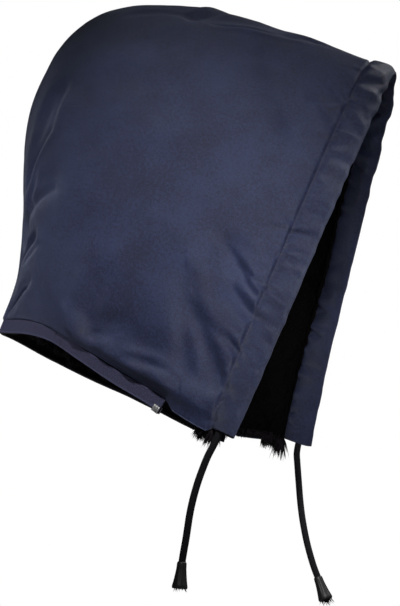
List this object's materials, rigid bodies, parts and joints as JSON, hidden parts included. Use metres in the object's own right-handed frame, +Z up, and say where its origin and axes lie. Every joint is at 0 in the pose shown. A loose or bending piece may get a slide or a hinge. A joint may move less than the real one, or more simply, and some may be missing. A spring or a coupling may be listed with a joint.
{
  "type": "detachable hood",
  "caption": "Detachable storm hood in navy cloth with a black pile lining, a drawcord casing round the face and a zip half along the neck edge.",
  "frame": {"origin": "inside the crown, under the pile near the highest place of the crown seam, where the head carries the hood", "axes": "+Z up, the face opening faces -Y, and the wearer's right is -X"},
  "size_m": [0.1998, 0.3609, 0.5179],
  "materials": {
    "shell_fabric": "fine navy twill of a tight weave, softly satin, slightly creased",
    "hem_fabric": "the same navy twill, doubled and gathered along its stitch line",
    "pile": "deep black pile, matt, in loose clumps",
    "zip_tape": "woven navy zip tape, matt, with a fine rib",
    "zip_coil": "dark moulded coil teeth",
    "zip_metal": "bright pressed metal",
    "cord": "black braided cord, matt",
    "cord_end": "black moulded plastic, satin"
  },
  "bodies": {
    "root": {"shell_right": "shell_fabric", "shell_left": "shell_fabric", "face_hem": "hem_fabric", "pile_lining": "pile", "neck_tape": "zip_tape", "zip_coil": "zip_coil", "zip_stop": "zip_metal", "drawcord_right": "cord", "drawcord_left": "cord", "cord_end_right": "cord_end", "cord_end_left": "cord_end"}
  },
  "joints": []
}
